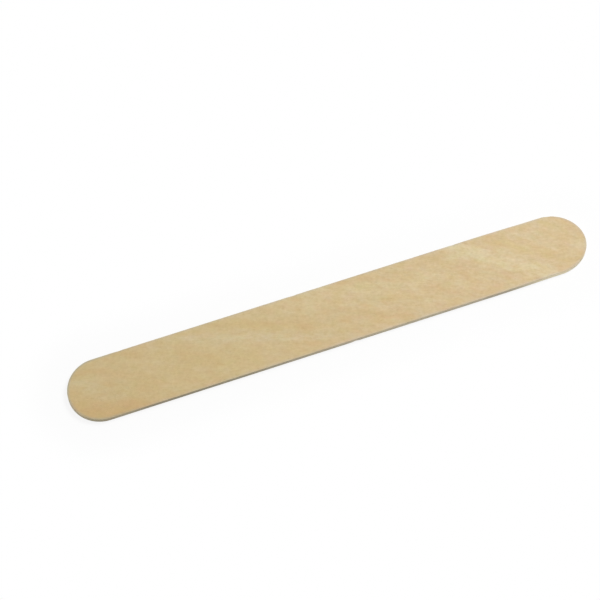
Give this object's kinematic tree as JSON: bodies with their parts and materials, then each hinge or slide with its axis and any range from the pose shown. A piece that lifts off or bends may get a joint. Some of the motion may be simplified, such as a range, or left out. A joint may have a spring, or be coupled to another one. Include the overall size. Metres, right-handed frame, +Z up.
{
  "type": "tongue depressor",
  "caption": "Flat wooden blade with parallel sides, rounded ends and eased edges, used to hold the tongue down during a look at the mouth and throat.",
  "frame": {"origin": "on the underside, below the middle of the blade, which lies flat", "axes": "+X along the blade towards its more pointed end, +Y across its width, +Z up through its thickness"},
  "size_m": [0.15, 0.018, 0.0016],
  "materials": {
    "birch": "bare birch veneer, sanded and tumbled smooth, unvarnished, pale straw to honey with a soft low-contrast figure"
  },
  "bodies": {
    "root": {"wooden_blade": "birch"}
  },
  "joints": []
}
